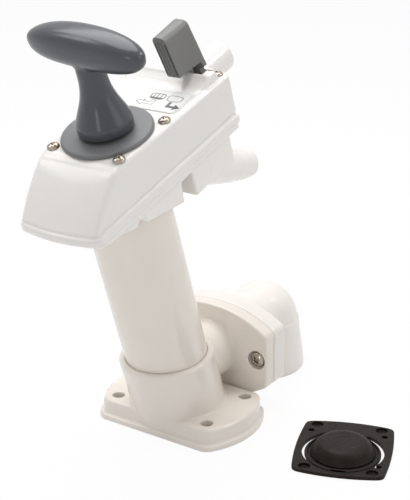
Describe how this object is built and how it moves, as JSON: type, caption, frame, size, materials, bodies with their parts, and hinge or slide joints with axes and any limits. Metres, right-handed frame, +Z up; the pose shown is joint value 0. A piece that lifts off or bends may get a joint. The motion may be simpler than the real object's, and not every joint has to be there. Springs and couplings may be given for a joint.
{
  "type": "manual piston pump",
  "caption": "Hand-worked marine toilet and bilge pump: leaning piston tube on a bolted foot, valve head with flush lever, hose tails, down-turned discharge elbow, loose suction valve gasket.",
  "frame": {"origin": "centre of the foot's four-bolt pattern, on the foot's underside", "axes": "+Z up from the mounting surface, +Y toward the discharge elbow, +X to the pump's right; the tube leans toward -Y"},
  "size_m": [0.2529, 0.3055, 0.3397],
  "materials": {
    "foot_white": "smooth moulded, glossy",
    "tube_white": "smooth moulded, glossy",
    "head_white": "smooth moulded, glossy",
    "cover_white": "smooth moulded, glossy",
    "elbow_white": "smooth moulded, glossy",
    "handle_grey": "satin moulded",
    "gland_grey": "satin moulded",
    "lever_grey": "satin moulded",
    "piston_plastic": "smooth moulded",
    "steel": "turned stainless steel",
    "screw_steel": "pressed stainless steel",
    "seal_rubber": "smooth nitrile rubber",
    "valve_rubber": "moulded rubber, satin",
    "label_film": "printed film",
    "weight_metal": "cast, moulded in"
  },
  "bodies": {
    "pump": {"base": "foot_white", "cylinder_tube": "tube_white", "tube_seal": "seal_rubber", "valve_body": "head_white", "head_seal": "seal_rubber", "top_valve_gasket": "valve_rubber", "top_cover": "cover_white", "cover_screws": "screw_steel", "label_plate": "label_film", "gland": "gland_grey", "gland_oring": "seal_rubber", "rod_seal": "seal_rubber", "spindle_oring": "seal_rubber", "joker_valve": "valve_rubber", "discharge_elbow": "elbow_white", "discharge_screws": "screw_steel", "suction_gasket": "valve_rubber"},
    "plunger": {"piston_seal": "seal_rubber"},
    "rod": {"piston": "piston_plastic", "piston_nut": "steel", "piston_rod": "steel", "handle": "handle_grey"},
    "lever": {"flush_lever": "lever_grey", "lever_spindle": "steel", "lever_cam": "lever_grey"},
    "inlet_valve": {"inlet_flap": "valve_rubber"},
    "outlet_valve": {"outlet_flap": "valve_rubber"},
    "suction_valve": {"suction_flap": "valve_rubber", "flap_weight": "weight_metal"}
  },
  "joints": [
    {"name": "pump_stroke", "type": "slide", "parent": "pump", "child": "plunger", "axis": [0, -0.309, 0.9511], "range_m": [0, 0.125]},
    {"name": "handle_turn", "type": "hinge", "parent": "plunger", "child": "rod", "pos_m": [0, -0.07896, 0.24575], "axis": [0, -0.309, 0.9511], "continuous": true},
    {"name": "lever_swing", "type": "hinge", "parent": "pump", "child": "lever", "pos_m": [0.0206, 0.00349, 0.27675], "axis": [0, 0.9511, 0.309], "range_deg": [0, 26.8]},
    {"name": "inlet_flap_hinge", "type": "hinge", "parent": "pump", "child": "inlet_valve", "pos_m": [0.021, -0.0195, 0.2391], "axis": [1, 0, 0], "range_deg": [0, 20]},
    {"name": "outlet_flap_hinge", "type": "hinge", "parent": "pump", "child": "outlet_valve", "pos_m": [-0.018, -0.00951, 0.24235], "axis": [1, 0, 0], "range_deg": [0, 35]},
    {"name": "suction_flap_hinge", "type": "hinge", "parent": "pump", "child": "suction_valve", "pos_m": [0.13186, 0.04051, 0.003], "axis": [-0.9304, -0.3665, 0], "range_deg": [0, 60]}
  ]
}
